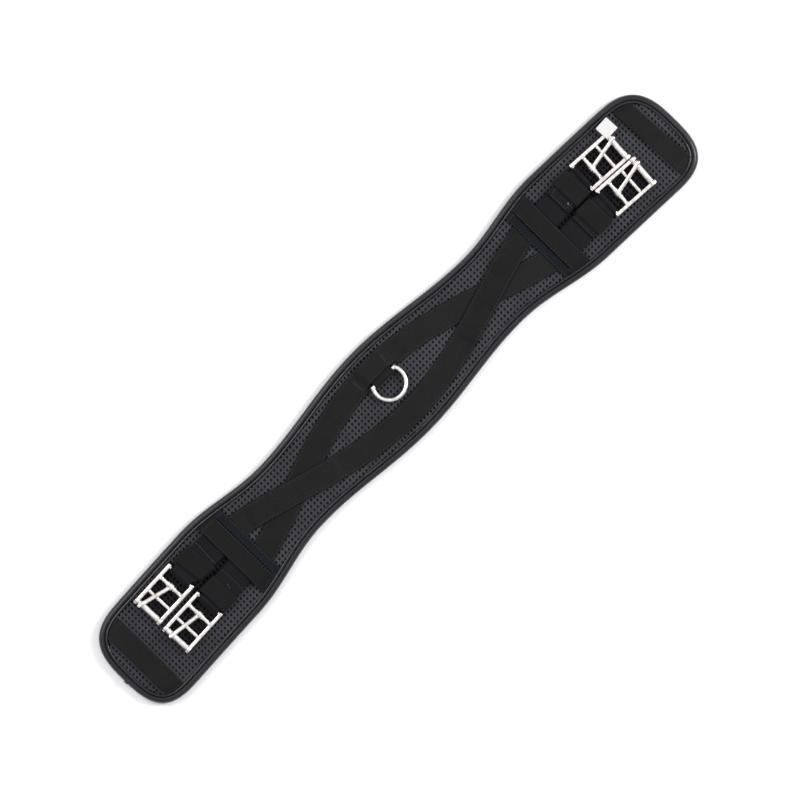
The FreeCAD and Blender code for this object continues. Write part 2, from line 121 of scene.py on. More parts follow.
soft_box("key_box", (1.75, -1.0, 1.5), 0.9, 46)
soft_box("fill_box", (-0.6, 1.7, 1.7), 1.3, 28)
world = bpy.data.worlds.new("studio_sky")
bpy.context.scene.world = world
world.use_nodes = True
sky = world.node_tree
sky.nodes.clear()
where = add(sky, "ShaderNodeTexCoord")
split = add(sky, "ShaderNodeSeparateXYZ", {0: where.outputs["Generated"]})
grade = add(sky, "ShaderNodeMapRange", {"Value": split.outputs["Z"], "From Min": 0.1, "From Max": 0.95,
        "To Min": 0.22, "To Max": 0.92})
glow = add(sky, "ShaderNodeBackground", {"Color": linear("#fbfbff"), "Strength": grade})
add(sky, "ShaderNodeOutputWorld", {0: glow})

# %% Floor
floor_mesh = bpy.data.meshes.new("floor")
FAR, FLOOR_Z = 45, -0.4 * MM
corners = [(x * FAR, y * FAR, FLOOR_Z) for x, y in ((-1, -1), (1, -1), (1, 1), (-1, 1))]
floor_mesh.from_pydata(corners, [], [(0, 1, 2, 3)])
floor = bpy.data.objects.new("floor", floor_mesh)
bpy.context.scene.collection.objects.link(floor)
pale = bpy.data.materials.new("pale_paper")
pale.use_nodes = True
wire(pale.node_tree, pale.node_tree.nodes["Principled BSDF"],
        {"Base Color": linear("#f6f6f6"), "Roughness": 0.9})
floor_mesh.materials.append(pale)

# %% [markdown]
# ## Finishes
# Almost everything here is black, so the pieces are told apart by how they take the light:
# smooth neoprene has a soft long highlight, webbing is dull with ribs across it, flat tape
# is a little blue, and the elastic has lengthwise ribs. Each finish is built from the real
# thread or grain size. A weave finer than a millimetre would vanish at this distance, so
# it is drawn about twice as coarse as it is.

# %% A base that every cloth finish starts from
TURN = 2 * math.pi


def finish(name, colour, roughness, **fixed):
    """A new material, its tree and shader, and the place on the piece that its patterns read."""
    made = bpy.data.materials.new(name)
    made.use_nodes = True
    tree = made.node_tree
    shader = tree.nodes["Principled BSDF"]
    fixed = {key.replace("_", " "): value for key, value in fixed.items()}
    wire(tree, shader, {"Base Color": linear(colour), "Roughness": roughness, **fixed})
    return made, tree, shader, add(tree, "ShaderNodeTexCoord").outputs["Object"]


def blotches(tree, coordinate, dark, light, size_mm, detail=4.0):
    """Colour that drifts between two tones over patches of about size_mm."""
    noise = add(tree, "ShaderNodeTexNoise", {"Vector": coordinate, "Scale": 1 / (size_mm * MM),
            "Detail": detail, "Roughness": 0.6})
    ramp = add(tree, "ShaderNodeValToRGB", {0: noise})
    ramp.color_ramp.elements[0].position, ramp.color_ramp.elements[0].color = 0.36, linear(dark)
    ramp.color_ramp.elements[1].position, ramp.color_ramp.elements[1].color = 0.68, linear(light)
    return noise, ramp


def woven(name, dark, light, rib_mm, thread_mm, depth_mm, roughness, gloss, contrast):
    """A woven strip. U runs along it and V across it, both in metres.

    Ribs stand across the strip every rib_mm, and the threads between them every thread_mm.
    """
    made, tree, shader, place = finish(name, dark, roughness, Sheen_Weight=0.03, Sheen_Roughness=0.45,
            Specular_IOR_Level=gloss)
    flat = add(tree, "ShaderNodeUVMap", uv_map="strip")
    uv = add(tree, "ShaderNodeSeparateXYZ", {0: flat})
    waves = []
    for axis, size_mm in (("X", rib_mm), ("Y", thread_mm)):
        angle = add(tree, "ShaderNodeMath", {0: uv.outputs[axis], 1: TURN / (size_mm * MM)},
                operation="MULTIPLY")
        waves.append(add(tree, "ShaderNodeMath", {0: angle}, operation="SINE"))
    rib, thread = waves
    crossed = add(tree, "ShaderNodeMath", {0: rib, 1: thread}, operation="MULTIPLY")
    cloth = add(tree, "ShaderNodeMath", {0: crossed, 1: 0.45, 2: rib}, operation="MULTIPLY_ADD")
    drift, tone = blotches(tree, place, dark, light, 26)
    lint, _ = blotches(tree, place, dark, light, 1.3, 2.0)
    crest = add(tree, "ShaderNodeMapRange", {"Value": cloth, "From Min": -1.4, "From Max": 1.4,
            "To Min": 1 - contrast, "To Max": 1 + contrast})
    grain = add(tree, "ShaderNodeMapRange", {"Value": lint, "From Min": 0.3, "From Max": 0.75,
            "To Min": 0.75, "To Max": 1.35})
    lit = add(tree, "ShaderNodeMath", {0: crest, 1: grain}, operation="MULTIPLY")
    colour = add(tree, "ShaderNodeVectorMath", {0: tone, "Scale": lit}, operation="SCALE")
    rough = add(tree, "ShaderNodeMapRange", {"Value": drift, "From Min": 0.3, "From Max": 0.7,
            "To Min": roughness - 0.1, "To Max": roughness + 0.08})
    bump = add(tree, "ShaderNodeBump", {"Height": cloth, "Distance": depth_mm * MM, "Strength": 0.9})
    wire(tree, shader, {"Base Color": colour, "Roughness": rough, "Normal": bump})
    return made


# %% The cloth finishes
# Nylon webbing: dull near-black, ribs right across it.
nylon_webbing = woven("nylon_webbing_woven", "#0b0b0c", "#151516", 1.9, 1.5, 0.13, 0.62, 0.16, 0.4)
# Ribbed polyester band: a tighter weave, a little greyer.
ribbed_band = woven("polyester_band_ribbed", "#070708", "#0f0f11", 1.7, 3.1, 0.14, 0.6, 0.16, 0.45)
# Flat tape: fine, smooth, navy-black, and it shines more than the webbing.
flat_tape = woven("polyester_tape_flat", "#04070f", "#0a101c", 1.5, 1.5, 0.06, 0.5, 0.14, 0.25)
# Braided elastic: fine ribs along the strip, and a faint purple cast in the light.
braided_elastic = woven("elastic_braided", "#07070b", "#100f15", 2.8, 1.7, 0.12, 0.62, 0.14, 0.28)
# Knitted elastic of the loops: smoother and blacker, with hardly any rib.
knitted_elastic = woven("elastic_knitted", "#0b0b0c", "#131314", 1.5, 2.4, 0.07, 0.66, 0.14, 0.2)


# %% Smooth neoprene for the rolled edge
def smooth_neoprene(name, low, high, gloss):
    """Neoprene with a smooth skin: a long highlight down the roll and a fine pebble."""
    made, tree, shader, place = finish(name, "#0d0e11", low, Specular_IOR_Level=gloss)
    drift, tone = blotches(tree, place, "#08090d", "#121319", 34)
    rough = add(tree, "ShaderNodeMapRange", {"Value": drift, "From Min": 0.3, "From Max": 0.7,
            "To Min": low, "To Max": high})
    pebble = add(tree, "ShaderNodeTexVoronoi", {"Vector": place, "Scale": 1 / (1.1 * MM)})
    crease = add(tree, "ShaderNodeTexNoise", {"Vector": place, "Scale": 1 / (9 * MM), "Detail": 3.0})
    fine = add(tree, "ShaderNodeBump", {"Height": pebble.outputs["Distance"], "Distance": 0.05 * MM,
            "Strength": 0.6})
    bump = add(tree, "ShaderNodeBump", {"Height": crease, "Distance": 0.5 * MM, "Strength": 0.5,
            "Normal": fine})
    wire(tree, shader, {"Base Color": tone, "Roughness": rough, "Normal": bump})
    return made


edge_neoprene = smooth_neoprene("neoprene_smooth_skinned", 0.33, 0.45, 0.5)
# The piping's cover is the same cloth, coated, so its narrow highlight is brighter.
coated_piping = smooth_neoprene("piping_coated_cloth", 0.2, 0.3, 0.6)


# %% Knitted spacer mesh
def knitted_mesh():
    """Polyester spacer mesh: grey knitted ridges, with painted shade in the holes and under the buckles."""
    made, tree, shader, place = finish("spacer_mesh_knitted", "#303035", 0.6)
    axes = add(tree, "ShaderNodeSeparateXYZ", {0: place})
    drift, tone = blotches(tree, place, "#2c2c32", "#3a3940", 42)
    # Painted shade in the holes: the colour darkens with depth, to nearly black at the back.
    depth = add(tree, "ShaderNodeMapRange", {"Value": axes.outputs["Z"], "From Min": 9.3 * MM,
            "From Max": 10.15 * MM, "To Min": 0.04, "To Max": 1.0})
    knit = add(tree, "ShaderNodeTexNoise", {"Vector": place, "Scale": 1 / (0.9 * MM), "Detail": 2.0})
    speck = add(tree, "ShaderNodeMapRange", {"Value": knit, "From Min": 0.3, "From Max": 0.7,
            "To Min": 0.75, "To Max": 1.25})
    lit = add(tree, "ShaderNodeMath", {0: depth, 1: speck}, operation="MULTIPLY")
    # Painted shade under the buckles and between the straps: the colour darkens there, and its shine drops.
    shaded = add(tree, "ShaderNodeAttribute", attribute_name="shaded")
    unshaded = add(tree, "ShaderNodeMapRange", {"Value": shaded.outputs["Fac"], "To Min": 1.0, "To Max": 0.34})
    kept = add(tree, "ShaderNodeMath", {0: lit, 1: unshaded}, operation="MULTIPLY")
    colour = add(tree, "ShaderNodeVectorMath", {0: tone, "Scale": kept}, operation="SCALE")
    shine = add(tree, "ShaderNodeMath", {0: unshaded, 1: 0.25}, operation="MULTIPLY")
    rough = add(tree, "ShaderNodeMapRange", {"Value": drift, "To Min": 0.62, "To Max": 0.8})
    bump = add(tree, "ShaderNodeBump", {"Height": knit, "Distance": 0.12 * MM, "Strength": 0.7})
    wire(tree, shader, {"Base Color": colour, "Specular IOR Level": shine, "Roughness": rough,
            "Normal": bump})
    return made


spacer_mesh = knitted_mesh()


# %% Polished nickel-plated steel
def plated_steel(name, colour, low, high):
    """Steel, tumbled and nickel-plated: bright, slightly warm, with faint hairlines."""
    made, tree, shader, place = finish(name, colour, low, Metallic=1.0)
    wear = add(tree, "ShaderNodeTexNoise", {"Vector": place, "Scale": 1 / (4.5 * MM), "Detail": 4.0})
    rough = add(tree, "ShaderNodeMapRange", {"Value": wear, "From Min": 0.35, "From Max": 0.7,
            "To Min": low, "To Max": high})
    tone = add(tree, "ShaderNodeValToRGB", {0: wear})
    tone.color_ramp.elements[0].position, tone.color_ramp.elements[0].color = 0.25, linear("#e2dcd5")
    tone.color_ramp.elements[1].position, tone.color_ramp.elements[1].color = 0.6, linear(colour)
    cast = add(tree, "ShaderNodeTexNoise", {"Vector": place, "Scale": 1 / (1.6 * MM), "Detail": 2.0})
    bump = add(tree, "ShaderNodeBump", {"Height": cast, "Distance": 0.02 * MM, "Strength": 0.3})
    wire(tree, shader, {"Base Color": tone, "Roughness": rough, "Normal": bump})
    return made


bright_steel = plated_steel("steel_nickel_plated", "#fbf6f2", 0.34, 0.5)


# %% Thread and card
def twisted_thread(name, dark, light):
    """Bonded nylon thread: each stitch has the twist of its three plies."""
    made, tree, shader, place = finish(name, dark, 0.55, Sheen_Weight=0.1)
    _, tone = blotches(tree, place, dark, light, 0.8, 2.0)
    ply = add(tree, "ShaderNodeTexWave", {"Vector": place, "Scale": 260.0, "Distortion": 1.5},
            bands_direction="DIAGONAL")
    bump = add(tree, "ShaderNodeBump", {"Height": ply.outputs[1], "Distance": 0.06 * MM, "Strength": 0.7})
    wire(tree, shader, {"Base Color": tone, "Normal": bump})
    return made


pale_thread = twisted_thread("nylon_thread_pale", "#39393c", "#5a5a5e")
white_thread = twisted_thread("nylon_thread_undyed", "#a5a5a8", "#dcdcde")
grey_thread = twisted_thread("nylon_thread_faded", "#242427", "#37373b")
black_thread = twisted_thread("nylon_thread_black", "#0a0a0c", "#151518")


def white_card():
    """Matt paper card, pressed, with a faint fibre."""
    made, tree, shader, place = finish("paper_card_white", "#d2d0cf", 0.6)
    fibre, tone = blotches(tree, place, "#c9c7c6", "#d5d3d2", 3.0)
    bump = add(tree, "ShaderNodeBump", {"Height": fibre, "Distance": 0.05 * MM, "Strength": 0.4})
    wire(tree, shader, {"Base Color": tone, "Normal": bump})
    return made


tag_card = white_card()
print(len(bpy.data.materials), "finishes")

# %% [markdown]
# ## The pad's outline
# The pad is wide in the middle, has a waist on each side of it and wide rounded ends, and
# the whole girth is bowed a little. Everything on the pad is placed by this one outline,
# so it is a formula here and not a drawn curve. Moving it inwards gives the lines that the
# piping and the mesh follow.

# %% The outline as a formula, in millimetres
HALF_LENGTH, CENTRE_HALF, WAIST_HALF, END_HALF = 393.5, 55.2, 43.2, 56.62
WAIST_AT, FULL_AT, ROUND_AT, ROUND_LENGTH, ROUND_POWER = 143.3, 250.0, 340.0, 53.5, 3.0
BOW = 11.2
MESH_TOP, PIPING_INSET, MESH_INSET = 10.2, 8.3, 9.6


def bow_at(x):
    return -BOW * (x / HALF_LENGTH) ** 2


def half_width(x):
    x = abs(x)
    if x < WAIST_AT:
        return WAIST_HALF + (CENTRE_HALF - WAIST_HALF) * (1 + math.cos(math.pi * x / WAIST_AT)) / 2
    if x < FULL_AT:
        share = (1 - math.cos(math.pi * (x - WAIST_AT) / (FULL_AT - WAIST_AT))) / 2
        return WAIST_HALF + (END_HALF - WAIST_HALF) * share
    share = max(0.0, 1 - max(0.0, (x - ROUND_AT) / ROUND_LENGTH) ** ROUND_POWER)
    return END_HALF * share ** (1 / ROUND_POWER)


def even_outline(count):
    """Points evenly spaced round the edge, anticlockwise from the right tip, and their inward normals."""
    corner = [(ROUND_AT + ROUND_LENGTH * math.cos(t) ** (2 / 3), END_HALF * math.sin(t) ** (2 / 3))
            for t in np.linspace(0, math.pi / 2, 400)[:-1]]
    quarter = corner + [(x, half_width(x)) for x in np.linspace(ROUND_AT, 0, 700)]
    upper = quarter + [(-x, y) for x, y in reversed(quarter[:-1])]
    ring = np.array(upper + [(x, -y) for x, y in reversed(upper[1:-1])] + [upper[0]])
    ring[:, 1] -= BOW * (ring[:, 0] / HALF_LENGTH) ** 2
    run = np.concatenate([[0], np.cumsum(np.linalg.norm(np.diff(ring, axis=0), axis=1))])
    at = np.arange(count) * run[-1] / count
    points = np.stack([np.interp(at, run, ring[:, k]) for k in (0, 1)], axis=1)
    step = np.roll(points, -2, 0) - np.roll(points, 2, 0)
    inward = np.stack([-step[:, 1], step[:, 0]], axis=1)
    return points, inward / np.linalg.norm(inward, axis=1)[:, None], run[-1]


ROUND = 720
edge, inward, girth_round = even_outline(ROUND)
print("edge is", round(girth_round), "mm round")


# %% Turn lists of points into a mesh piece
def make_piece(name, points, faces, material, uv=None, flip_check=True):
    """A mesh object from points in millimetres. uv is one (u, v) in metres per face corner."""
    mesh = bpy.data.meshes.new(name)
    mesh.from_pydata((np.asarray(points, float) * MM).tolist(), [], faces)
    if uv is not None:
        mesh.uv_layers.new(name="strip").data.foreach_set("uv", np.asarray(uv, float).ravel())
    if flip_check:
        shape = bmesh.new()
        shape.from_mesh(mesh)
        bmesh.ops.recalc_face_normals(shape, faces=shape.faces)
        shape.to_mesh(mesh)
        shape.free()
    mesh.polygons.foreach_set("use_smooth", [True] * len(mesh.polygons))
    mesh.materials.append(material)
    piece = bpy.data.objects.new(name, mesh)
    bpy.context.scene.collection.objects.link(piece)
    return piece


def points_of(mesh):
    """A mesh's points as rows of x, y and z, in metres."""
    co = np.empty(len(mesh.vertices) * 3)
    mesh.vertices.foreach_get("co", co)
    return co.reshape(-1, 3)


def between_rings(rings, around, closed=False):
    """Faces between rings of points. Closed also joins the last ring to the first."""
    return [(r * around + k, r * around + (k + 1) % around, n * around + (k + 1) % around, n * around + k)
            for r, n in ((r, (r + 1) % rings) for r in range(rings if closed else rings - 1))
            for k in range(around)]


def triangles(piece):
    return sum(len(p.vertices) - 2 for p in piece.data.polygons)


def lid(ring_index, ring, columns, start):
    """Closes a ring (first point at the right tip, anticlockwise) with rows from side to side."""
    n = len(ring)
    half = n // 2
    new, full = [], []
    for up, down in zip(range(1, half), range(n - 1, half, -1)):
        row = [start + len(new) + k for k in range(columns - 1)]
        full.append([ring_index[up]] + row + [ring_index[down]])
        new += [ring[up] + (ring[down] - ring[up]) * (k + 1) / columns for k in range(columns - 1)]
    faces = [(a[k], a[k + 1], b[k + 1], b[k]) for a, b in zip(full, full[1:]) for k in range(columns)]
    faces += [(ring_index[0], full[0][k + 1], full[0][k]) for k in range(columns)]
    faces += [(ring_index[half], full[-1][k], full[-1][k + 1]) for k in range(columns)]
    return new, faces


# %% [markdown]
# ## The padded body
# The lining is a sheet of smooth neoprene. It covers the underside, turns up round the foam
# and is sewn down on top, which makes a fat rolled edge. It could be a swept half-round,
# but real stuffed edges swell unevenly between their seams. So the shell is drawn a little
# thin, its two sewn lines are pinned, and a cloth simulation blows it up from inside.

# %% The shell, slightly under size
ROLL = [(3.7, 0.0), (2.3, 0.15), (1.1, 0.9), (0.5, 2.0), (0.35, 3.3), (0.5, 4.6), (0.9, 5.9), (1.6, 7.1),
        (2.5, 8.0), (3.5, 8.5), (4.5, 8.65), (5.4, 8.45), (6.2, 8.0), (6.8, 7.6), (7.3, 7.7), (7.9, 8.6),
        (9.0, 8.95)]
PINNED_INSIDE, LID_COLUMNS, PRESSURE, MOST_SWELL = 6.5, 14, 4.0, 0.7

shell = [np.array([x, y, z]) for inset, z in ROLL for x, y in edge + inward * inset]
shell_faces = between_rings(len(ROLL), ROUND)
for r in (0, len(ROLL) - 1):
    index = list(range(r * ROUND, (r + 1) * ROUND))
    new, faces = lid(index, [shell[k] for k in index], LID_COLUMNS, len(shell))
    shell += new
    shell_faces += faces
pad_body = make_piece("pad_body", shell, shell_faces, edge_neoprene)
print("pad_body", triangles(pad_body), "triangles before it swells")


# %% Blow it up with cloth pressure, pinned at its seams
def swell(piece, pinned, pressure, most_mm):
    """Cloth pressure for 20 frames. No point moves further than most_mm."""
    group = piece.vertex_groups.new(name="sewn_down")
    group.add(pinned, 1.0, "REPLACE")
    cloth = piece.modifiers.new("swell", "CLOTH")
    cloth.settings.use_pressure = True
    cloth.settings.uniform_pressure_force = pressure
    cloth.settings.effector_weights.gravity = 0
    cloth.settings.vertex_group_mass = "sewn_down"
    cloth.point_cache.frame_start, cloth.point_cache.frame_end = 1, 20
    scene = bpy.context.scene
    for frame_number in range(1, 21):
        scene.frame_set(frame_number)
    puffed = piece.evaluated_get(bpy.context.evaluated_depsgraph_get()).to_mesh()
    before = points_of(piece.data)
    move = points_of(puffed) - before
    piece.modifiers.remove(cloth)
    piece.vertex_groups.remove(group)
    scene.frame_set(1)
    size = np.linalg.norm(move, axis=1)
    move *= np.minimum(1, most_mm * MM / np.maximum(size, 1e-12))[:, None]
    piece.data.vertices.foreach_set("co", (before + move).ravel())
    piece.data.update()
    return size.max() / MM, np.linalg.norm(move, axis=1).max() / MM


ring_of = [k // ROUND if k < len(ROLL) * ROUND else len(ROLL) for k in range(len(shell))]
sewn = [k for k,
        r in enumerate(ring_of) if r == len(ROLL) or ROLL[r][0] > PINNED_INSIDE or ROLL[r][1] < 0.1]
print("pad_body swelled, furthest point in mm: %.2f, capped at %.2f" % swell(pad_body, sewn, PRESSURE,
        MOST_SWELL))

# %% [markdown]
# One level of subdivision would double its points for nothing, because its rings are
# already closer together than the eye can part. Slow unevenness along the roll is still
# missing: a hand feeding cloth under a needle never keeps the same tension.

# %% Slow unevenness along the roll
co = points_of(pad_body.data)
for k in range(ROUND, (len(ROLL) - 1) * ROUND):
    t = TURN * (k % ROUND) / ROUND
    wave = math.sin(11 * t + 1.3) + 0.7 * math.sin(27 * t + 0.4) + 0.5 * math.sin(61 * t + 2.1)
    co[k, 2] += 0.07 * MM * wave * min(1.0, ROLL[k // ROUND][1] / 8.0)
co[:, 2] = np.maximum(co[:, 2], 0)
pad_body.data.vertices.foreach_set("co", co.ravel())
pad_body.data.update()
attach(pad_body, "pad")
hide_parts("lining", "foam_core")

# %% [markdown]
# ## The piping
# A thin cord in its own cover lies in the groove between the rolled edge and the mesh. A
# bevelled curve would do, but a tube made from rings can be a little lumpy, as a covered
# cord is where the needle pulls it in.

# %% The piping cord
SIDES, PIPE_RADIUS, PIPE_Z = 10, 1.12, 10.0
pipe = []
for k in range(ROUND):
    t = TURN * k / ROUND
    radius = PIPE_RADIUS + 0.06 * math.sin(180 * t) + 0.03 * math.sin(41 * t)
    for s in range(SIDES):
        a = TURN * s / SIDES
        flat = edge[k] + inward[k] * (PIPING_INSET + radius * math.cos(a))
        pipe.append((flat[0], flat[1], PIPE_Z + radius * math.sin(a)))
piping_cord = make_piece("piping_cord", pipe, between_rings(ROUND, SIDES, closed=True), coated_piping)
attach(piping_cord, "pad")
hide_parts("piping")
print("piping_cord", triangles(piping_cord), "triangles")

# %% [markdown]
# ## The spacer mesh
# The top is a knitted mesh with a hole every few millimetres. Holes could be painted, but
# light from the side has to fall into them. So one cell is modelled, with a raised rim and
# a hole, and Geometry Nodes set a copy on every point of a grid that lies over the panel.
# A ray sent down from each point tells whether the panel is under it.

# %% One cell of the mesh
PITCH_ALONG, PITCH_ACROSS, COLUMNS, ROWS, CORNERS = 4.6, 4.7, 171, 27, 8
BACK_Z, LIP_Z = 9.05, 10.0


def mesh_cell():
    """Rings from the cell's edge in to the bottom of its hole, in metres."""
    rings = []
    for z, hole in ((10.0, None), (10.2, 1.95), (9.95, 1.42), (9.15, 1.2)):
        ring = []
        for k in range(CORNERS):
            a = TURN * k / CORNERS
            c, s = math.cos(a), math.sin(a)
            if hole is None:
                reach = 1 / max(abs(c), abs(s))
                ring.append((PITCH_ALONG / 2 * reach * c, PITCH_ACROSS / 2 * reach * s, z))
            else:
                lean = 0.18 * hole * s
                ring.append((hole * 0.92 * c + lean, hole * 1.08 * s, z))
        rings += ring
    return make_piece("one_cell", rings, between_rings(4, CORNERS), spacer_mesh, flip_check=False)


# %% A grid of cells over a panel, with Geometry Nodes
def named_tree(name, sockets):
    """An empty geometry tree with its named inputs, and the nodes at its two ends."""
    tree = bpy.data.node_groups.new(name, "GeometryNodeTree")
    tree.interface.new_socket("Geometry", in_out="INPUT", socket_type="NodeSocketGeometry")
    for label, kind in sockets:
        tree.interface.new_socket(label, in_out="INPUT", socket_type=kind)
    tree.interface.new_socket("Geometry", in_out="OUTPUT", socket_type="NodeSocketGeometry")
    return tree, add(tree, "NodeGroupInput").outputs


def cells_tree():
    tree, given = named_tree("cells_over_panel", [("Cell", "NodeSocketObject"),
            ("Pitch along", "NodeSocketFloat"), ("Pitch across", "NodeSocketFloat"),
            ("Columns", "NodeSocketInt"), ("Rows", "NodeSocketInt"), ("Finish", "NodeSocketMaterial")])
    spans = [add(tree, "ShaderNodeMath", {0: given[count], 1: 1.0}, operation="SUBTRACT")
            for count in ("Columns", "Rows")]
    sizes = [add(tree, "ShaderNodeMath", {0: span, 1: given[pitch]}, operation="MULTIPLY") for span,
            pitch in zip(spans, ("Pitch along", "Pitch across"))]
    grid = add(tree, "GeometryNodeMeshGrid", {"Size X": sizes[0], "Size Y": sizes[1],
            "Vertices X": given["Columns"], "Vertices Y": given["Rows"]})
    where = add(tree, "GeometryNodeInputPosition")
    above = add(tree, "ShaderNodeVectorMath", {0: where, 1: (0, 0, 1)}, operation="ADD")
    ray = add(tree, "GeometryNodeRaycast", {"Target Geometry": given["Geometry"], "Source Position": above,
            "Ray Direction": (0, 0, -1), "Ray Length": 2.0})
    off = add(tree, "FunctionNodeBooleanMath", {0: ray.outputs["Is Hit"]}, operation="NOT")
    kept = add(tree, "GeometryNodeDeleteGeometry", {"Geometry": grid.outputs["Mesh"], "Selection": off})
    cell = add(tree, "GeometryNodeObjectInfo", {"Object": given["Cell"]})
    copies = add(tree, "GeometryNodeInstanceOnPoints",
            {"Points": kept, "Instance": cell.outputs["Geometry"]})
    real = add(tree, "GeometryNodeRealizeInstances", {"Geometry": copies})
    joined = add(tree, "GeometryNodeMergeByDistance", {"Geometry": real, "Distance": 0.01 * MM})
    done = add(tree, "GeometryNodeSetMaterial", {"Geometry": joined, "Material": given["Finish"]})
    add(tree, "NodeGroupOutput", {"Geometry": done})
    return tree


def grown(carrier, tree, values, name):
    """Runs a geometry tree on a carrier object and returns the result as a plain mesh piece."""
    made = carrier.modifiers.new("grow", "NODES")
    made.node_group = tree
    keys = {item.name: item.identifier for item in tree.interface.items_tree
            if item.item_type == "SOCKET" and item.in_out == "INPUT"}
    for label, value in values.items():
        made[keys[label]] = value
    bpy.context.view_layer.update()
    ready = carrier.evaluated_get(bpy.context.evaluated_depsgraph_get())
    mesh = bpy.data.meshes.new_from_object(ready)
    carrier.modifiers.remove(made)
    bpy.data.objects.remove(carrier)
    mesh.name = name
    piece = bpy.data.objects.new(name, mesh)
    bpy.context.scene.collection.objects.link(piece)
    return piece


# %% Keep points inside the line of the piping
EDGE_LINE = even_outline(3600)


def tuck(points, inset):
    """Points in mm. Any that lie outside the outline, moved in by inset, go back onto it."""
    line, normal = EDGE_LINE[0] + EDGE_LINE[1] * inset, EDGE_LINE[1]
    near = kdtree.KDTree(len(line))
    for k, (x, y) in enumerate(line):
        near.insert((x, y, 0), k)
    near.balance()
    out, moved = np.array(points, float), 0
    for p in out:
        if abs(p[0]) < 300 and abs(p[1] - bow_at(p[0])) < half_width(p[0]) - inset - 2.5:
            continue
        _, k, _ = near.find((p[0], p[1], 0))
        if (p[:2] - line[k]) @ normal[k] < 0:
            p[:2] = line[k]
            moved += 1
    return out, moved


# %% The mesh panel
panel_ring = [np.array([x, y, 0.0]) for x, y in edge + inward * (MESH_INSET - 1.6)]
more, faces = lid(list(range(ROUND)), panel_ring, 2, ROUND)
panel = make_piece("panel", panel_ring + more, faces, spacer_mesh)
cell = mesh_cell()
mesh_top = grown(panel, cells_tree(), {"Cell": cell, "Pitch along": PITCH_ALONG * MM,
        "Pitch across": PITCH_ACROSS * MM, "Columns": COLUMNS, "Rows": ROWS, "Finish": spacer_mesh},
        "mesh_panel")
bpy.data.objects.remove(cell)
print("cells", len(mesh_top.data.polygons) // 24)

# %% Tuck the outer cells under the piping and close the back
lattice = bmesh.new()
lattice.from_mesh(mesh_top.data)
tucked, moved = tuck([v.co / MM for v in lattice.verts], MESH_INSET)
for v, p in zip(lattice.verts, tucked):
    v.co = Vector(p) * MM
bmesh.ops.dissolve_degenerate(lattice, dist=0.02 * MM, edges=lattice.edges)
flat_bits = [f for f in lattice.faces if f.calc_area() < 1e-3 * MM * MM]
bmesh.ops.delete(lattice, geom=flat_bits, context="FACES")
loose = [v for v in lattice.verts if not v.link_faces]
bmesh.ops.delete(lattice, geom=loose, context="VERTS")
back_ring, lip_ring = [[np.array([x, y, z]) for x, y in edge + inward * MESH_INSET]
        for z in (BACK_Z, LIP_Z)]
more, faces = lid(list(range(ROUND)), back_ring, 12, 2 * ROUND)
back = [lattice.verts.new(Vector(p) * MM) for p in back_ring + lip_ring + more]
for f in faces:
    lattice.faces.new([back[k] for k in f])
for k in range(ROUND):
    n = (k + 1) % ROUND
    lattice.faces.new([back[k], back[ROUND + k], back[ROUND + n], back[n]])
for f in lattice.faces:
    f.smooth = True
lattice.normal_update()
flat_area = sum(f.calc_area() for f in lattice.faces
                if abs(f.normal.z) > 0.99 and abs(f.calc_center_median().z - BACK_Z * MM) < 1e-5)
down = [f for f in lattice.faces if f.normal.z < -0.2]
bmesh.ops.reverse_faces(lattice, faces=down)
lattice.to_mesh(mesh_top.data)
lattice.free()
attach(mesh_top, "pad")
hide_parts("mesh_top")
print("mesh_panel", triangles(mesh_top), "triangles,", moved, "points tucked, flat area",
        round(flat_area, 4), "m2")


# %% [markdown]
# ## Strips: webbing, tape, band and elastic
# Webbing, tape and elastic are all the same thing to model: a flat section with rounded
# edges that is carried along a path. A curve with a bevel profile would twist at the folds,
# so the section is placed one by one at each station, with the direction across the strip
# given. Each strip also gets a flat map in metres, along it and across it, for its weave.

# %% Carry a flat section along a path
def strip_section(rows):
    """(share across, share of thickness) round a flat section with rounded edges."""
    top = [(a, 0.5) for a in np.linspace(-0.5, 0.5, rows)]
    turn = [(0.5, 0.5 * math.cos(t)) for t in np.linspace(0, math.pi, 4)[1:-1]]
    return top + turn + [(a, -h) for a, h in reversed(top)] + [(-a, -h) for a, h in turn]


